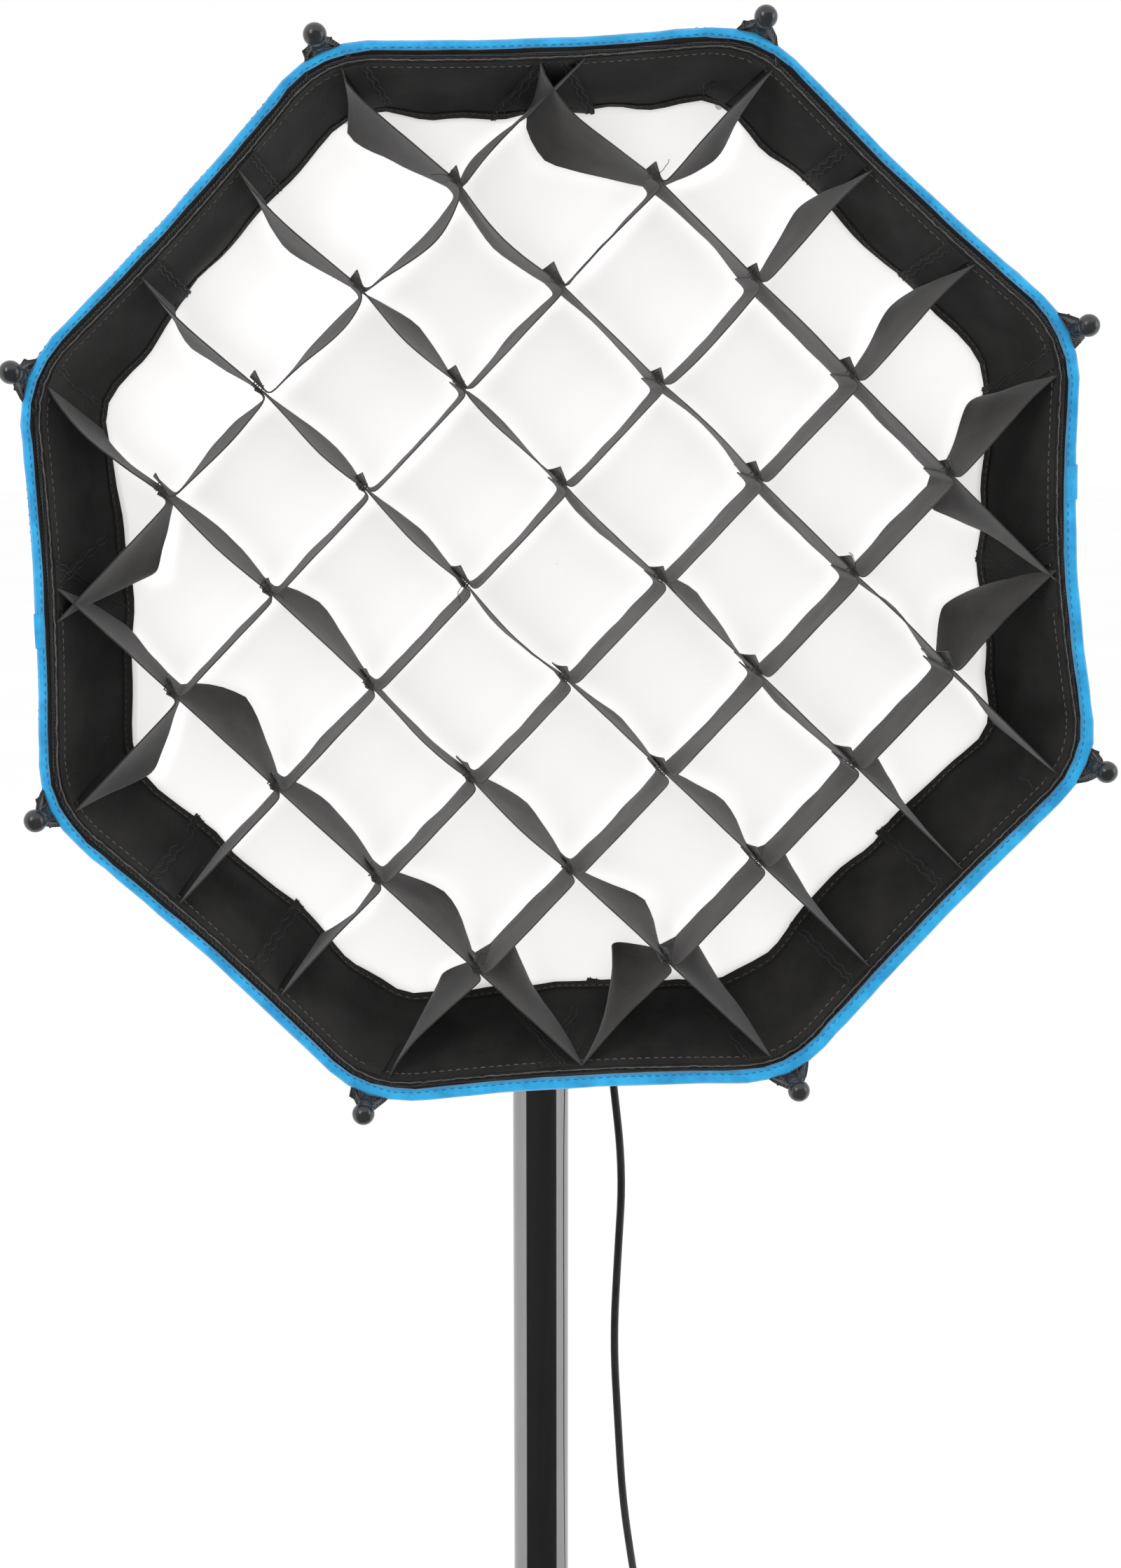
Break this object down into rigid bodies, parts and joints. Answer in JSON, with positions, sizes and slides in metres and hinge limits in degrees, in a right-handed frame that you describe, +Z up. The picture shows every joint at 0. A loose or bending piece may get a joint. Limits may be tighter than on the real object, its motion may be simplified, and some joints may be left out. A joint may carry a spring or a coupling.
{
  "type": "studio softbox",
  "caption": "Octagonal studio softbox with a cloth grid on a flash head, held by a tilt bracket on a chrome stand with folding legs and a mains cord.",
  "frame": {"origin": "on the floor, under the middle of the whole object, 120 mm in front of the stand's column", "axes": "+Z up, -Y the way the light faces, +X to the right for someone facing the light"},
  "size_m": [0.8634, 0.8705, 1.4191],
  "materials": {
    "shell_fabric": "black woven nylon",
    "binding_blue": "bright blue edge tape",
    "hook_loop": "black hook-and-loop webbing",
    "diffuser_white": "white translucent diffuser cloth",
    "elastic": "black elastic",
    "rod_steel": "spring steel",
    "tip_plastic": "glossy dark grey",
    "ring_alloy": "black anodised",
    "grid_fabric": "black ripstop cloth",
    "casing_plastic": "fine-grained",
    "control_plastic": "satin",
    "knob_plastic": "moulded",
    "handle_rubber": "soft",
    "ceramic_white": "glazed",
    "flash_glass": "frosted",
    "stand_chrome": "polished",
    "stand_casting": "black, satin",
    "bush_plastic": "nylon",
    "stud_steel": "plated",
    "cord_rubber": "matt"
  },
  "bodies": {
    "base": {"column": "stand_chrome", "column_collar": "stand_casting", "base_clamp": "stand_casting", "leg_1": "stand_chrome", "foot_1": "handle_rubber", "mains_cord": "cord_rubber", "cord_coil": "cord_rubber", "mains_plug": "cord_rubber"},
    "leg_2": {"leg_2": "stand_chrome", "foot_2": "handle_rubber"},
    "leg_3": {"leg_3": "stand_chrome", "foot_3": "handle_rubber"},
    "column_knob": {"column_knob": "knob_plastic"},
    "riser": {"riser": "stand_chrome", "riser_bush": "bush_plastic", "stand_stud": "stud_steel"},
    "socket": {"stud_socket": "ring_alloy"},
    "socket_knob": {"socket_knob": "knob_plastic"},
    "tilt_lever": {"tilt_lever": "knob_plastic"},
    "head": {"tilt_lug": "ring_alloy", "ring_insert": "ring_alloy", "bayonet_collar": "ring_alloy", "front_casing": "casing_plastic", "rear_casing": "casing_plastic", "rear_panel": "casing_plastic", "lamp_base": "ceramic_white", "flash_tube": "flash_glass", "modelling_lamp": "flash_glass", "glass_dome": "flash_glass", "carry_handle": "handle_rubber", "cord_gland": "handle_rubber"},
    "bayonet_release": {"bayonet_release": "control_plastic"},
    "mode_dial": {"mode_dial": "control_plastic"},
    "button_1": {"button_1": "control_plastic"},
    "button_2": {"button_2": "control_plastic"},
    "power_rocker": {"power_rocker": "control_plastic"},
    "softbox": {"gore_1": "shell_fabric", "gore_2": "shell_fabric", "gore_3": "shell_fabric", "gore_4": "shell_fabric", "gore_5": "shell_fabric", "gore_6": "shell_fabric", "gore_7": "shell_fabric", "gore_8": "shell_fabric", "lip_panels": "shell_fabric", "edge_binding": "binding_blue", "corner_tabs": "hook_loop", "rod_tips": "tip_plastic", "rods": "rod_steel", "diffuser": "diffuser_white", "inner_baffle": "diffuser_white", "baffle_straps": "elastic", "speed_ring": "ring_alloy", "ring_cuff": "shell_fabric"},
    "ring_lock_screw": {"ring_lock_screw": "knob_plastic"},
    "grid": {"grid_border": "grid_fabric", "grid_long_strips": "grid_fabric", "grid_cross_strips": "grid_fabric"}
  },
  "joints": [
    {"name": "leg_2_swing", "type": "hinge", "parent": "base", "child": "leg_2", "pos_m": [0, 0.12, 0.085], "axis": [0, 0, 1], "range_deg": [-96, 0]},
    {"name": "leg_3_swing", "type": "hinge", "parent": "base", "child": "leg_3", "pos_m": [0, 0.12, 0.112], "axis": [0, 0, 1], "range_deg": [0, 96]},
    {"name": "column_knob_turn", "type": "hinge", "parent": "base", "child": "column_knob", "pos_m": [0, 0.15, 0.778], "axis": [0, 1, 0], "continuous": true},
    {"name": "riser_slide", "type": "slide", "parent": "base", "child": "riser", "axis": [0, 0, 1], "range_m": [0, 0.35], "deforming": ["mains_cord"]},
    {"name": "pan", "type": "hinge", "parent": "riser", "child": "socket", "pos_m": [0, 0.12, 0.92], "axis": [0, 0, 1], "continuous": true, "deforming": ["mains_cord"]},
    {"name": "socket_knob_turn", "type": "hinge", "parent": "socket", "child": "socket_knob", "pos_m": [-0.03, 0.12, 0.915], "axis": [-1, 0, 0], "continuous": true},
    {"name": "head_tilt", "type": "hinge", "parent": "socket", "child": "head", "pos_m": [0, 0.12, 0.994], "axis": [1, 0, 0], "range_deg": [-60, 40], "deforming": ["mains_cord"]},
    {"name": "tilt_lever_turn", "type": "hinge", "parent": "socket", "child": "tilt_lever", "pos_m": [0, 0.12, 0.994], "axis": [1, 0, 0], "range_deg": [0, 55]},
    {"name": "ring_turn", "type": "hinge", "parent": "head", "child": "softbox", "pos_m": [-0.022, 0, 1.1], "axis": [0, 1, 0], "continuous": true},
    {"name": "ring_lock_turn", "type": "hinge", "parent": "softbox", "child": "ring_lock_screw", "pos_m": [-0.01874, 0.0075, 1.01506], "axis": [0.0384, 0, -0.9993], "continuous": true},
    {"name": "grid_pull", "type": "slide", "parent": "softbox", "child": "grid", "axis": [0, -1, 0], "range_m": [0, 0.08]},
    {"name": "release_press", "type": "slide", "parent": "head", "child": "bayonet_release", "axis": [0, 0, -1], "range_m": [0, 0.002], "stiffness_N_per_m": 800},
    {"name": "dial_turn", "type": "hinge", "parent": "head", "child": "mode_dial", "pos_m": [0.004, 0.248, 1.126], "axis": [0, 1, 0], "continuous": true},
    {"name": "button_1_press", "type": "slide", "parent": "head", "child": "button_1", "axis": [0, -1, 0], "range_m": [0, 0.0015], "stiffness_N_per_m": 700},
    {"name": "button_2_press", "type": "slide", "parent": "head", "child": "button_2", "axis": [0, -1, 0], "range_m": [0, 0.0015], "stiffness_N_per_m": 700},
    {"name": "rocker_tip", "type": "hinge", "parent": "head", "child": "power_rocker", "pos_m": [-0.046, 0.246, 1.072], "axis": [0, 0, 1], "range_deg": [0, 10]}
  ]
}
